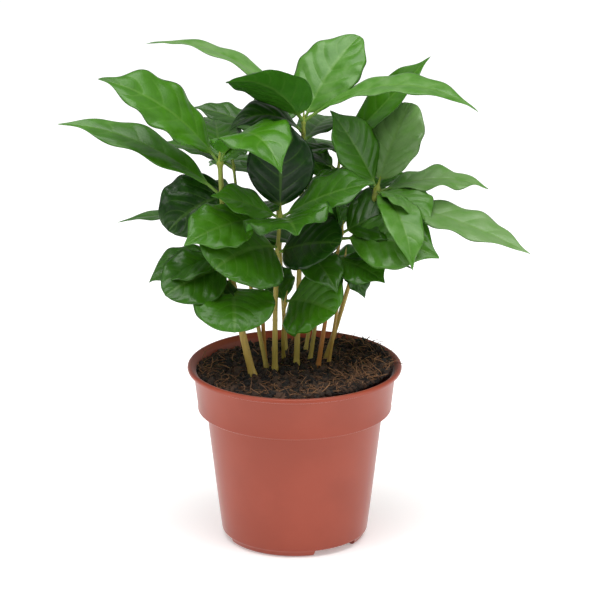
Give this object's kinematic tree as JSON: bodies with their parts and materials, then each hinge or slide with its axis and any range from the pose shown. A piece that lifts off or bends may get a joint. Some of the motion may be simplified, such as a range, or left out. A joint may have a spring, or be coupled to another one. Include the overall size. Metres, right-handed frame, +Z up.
{
  "type": "potted coffee plant",
  "caption": "Clump of young coffee plants with glossy pointed leaves on slender stems, growing in soil in a round plastic nursery pot with a collar.",
  "frame": {"origin": "on the floor under the middle of the plant's bounding box", "axes": "+Z up, +X to the viewer's right, -Y towards the viewer"},
  "size_m": [0.261, 0.1726, 0.2791],
  "materials": {
    "pot_plastic": "satin",
    "potting_soil": "rough",
    "green_stem": "satin",
    "leaf": "gloss"
  },
  "bodies": {
    "root": {"pot": "pot_plastic", "soil": "potting_soil", "stem_left": "green_stem", "leaves_left": "leaf", "stem_centre": "green_stem", "leaves_centre": "leaf", "stem_tall": "green_stem", "leaves_tall": "leaf", "stem_right": "green_stem", "leaves_right": "leaf", "stem_low_right": "green_stem", "leaves_low_right": "leaf", "stem_back_right": "green_stem", "leaves_back_right": "leaf", "stem_back_left": "green_stem", "leaves_back_left": "leaf", "stem_low_left": "green_stem", "leaves_low_left": "leaf", "stem_small": "green_stem", "leaves_small": "leaf", "stem_back": "green_stem", "leaves_back": "leaf", "stem_far_right": "green_stem", "leaves_far_right": "leaf", "stem_side": "green_stem", "leaves_side": "leaf"}
  },
  "joints": []
}
